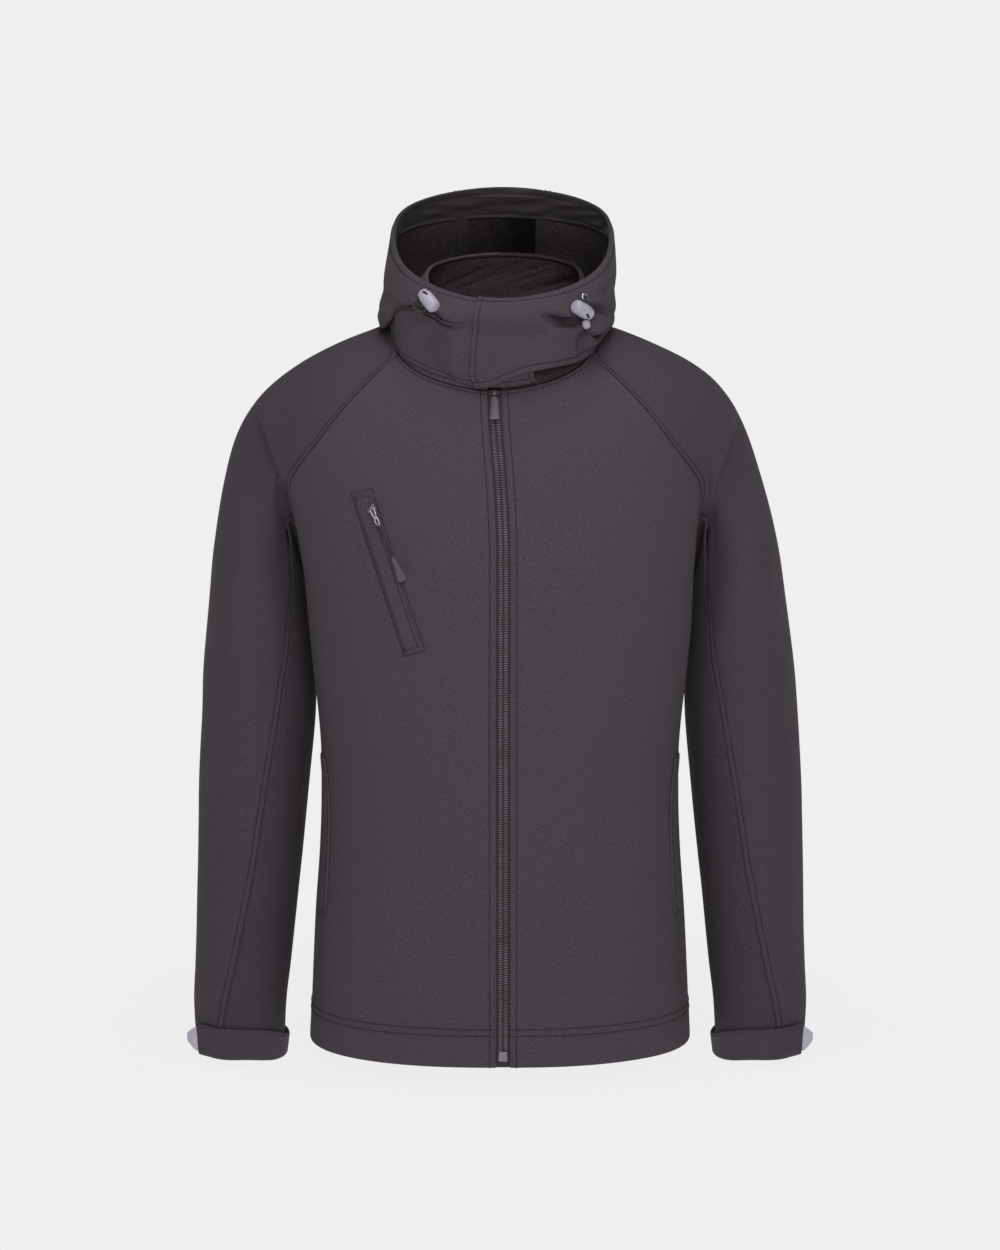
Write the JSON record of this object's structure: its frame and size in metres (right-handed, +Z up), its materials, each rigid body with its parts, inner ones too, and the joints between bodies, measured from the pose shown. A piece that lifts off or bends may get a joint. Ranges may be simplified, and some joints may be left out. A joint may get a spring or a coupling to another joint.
{
  "type": "hooded jacket",
  "caption": "Hollow hooded softshell jacket with raglan sleeves, full front zip, stand collar inside the hood, slanted chest pocket and strapped cuffs, standing open as if worn.",
  "frame": {"origin": "Midway between the shoulders at the level of the shoulder points, where the wearer carries the jacket; 700 mm above the hem at the centre front.", "axes": "+Z up along the body, the longest extent; +X to the wearer's left; +Y to the back, the shortest extent; the front faces -Y."},
  "size_m": [0.6394, 0.3453, 0.8729],
  "materials": {
    "softshell": "matt dark grey stretch weave, brushed fleece inside",
    "softshell_sleeve": "the same weave, lying across, a little darker",
    "facing_cloth": "dark plain weave band inside the hood's rim",
    "zip_tape": "coil zip on woven tape",
    "gunmetal": "dull dark metal",
    "accent_plastic": "pale lilac grey moulded plastic",
    "elastic_cord": "black braided elastic",
    "pull_plastic": "dark grey moulded plastic"
  },
  "bodies": {
    "jacket": {"back": "softshell", "chest_slider": "gunmetal", "chest_welt": "softshell", "chest_zip": "zip_tape", "collar": "softshell", "cord_end_left": "accent_plastic", "cord_left": "elastic_cord", "cord_lock_left": "accent_plastic", "cord_lock_right": "accent_plastic", "cord_right": "elastic_cord", "cuff_strap_left": "softshell_sleeve", "cuff_strap_right": "softshell_sleeve", "cuff_tab_left": "accent_plastic", "cuff_tab_right": "accent_plastic", "eyelet_left": "gunmetal", "eyelet_right": "gunmetal", "front_left": "softshell", "front_right": "softshell", "hood_centre": "softshell", "hood_facing": "facing_cloth", "hood_side_left": "softshell", "hood_side_right": "softshell", "main_slider": "gunmetal", "main_zip": "zip_tape", "side_pocket_left": "softshell", "side_pocket_right": "softshell", "sleeve_under_left": "softshell_sleeve", "sleeve_under_right": "softshell_sleeve", "sleeve_upper_left": "softshell_sleeve", "sleeve_upper_right": "softshell_sleeve", "zip_box": "gunmetal"},
    "main_pull": {"main_pull": "pull_plastic"},
    "chest_pull": {"chest_pull": "pull_plastic"}
  },
  "joints": [
    {"name": "main_pull_hinge", "type": "hinge", "parent": "jacket", "child": "main_pull", "pos_m": [-0.00539, -0.10335, -0.04631], "axis": [-1, 0, 0], "range_deg": [0, 110]},
    {"name": "chest_pull_hinge", "type": "hinge", "parent": "jacket", "child": "chest_pull", "pos_m": [-0.12252, -0.1214, -0.15495], "axis": [-0.8714, 0.218, -0.4394], "range_deg": [0, 150]}
  ]
}
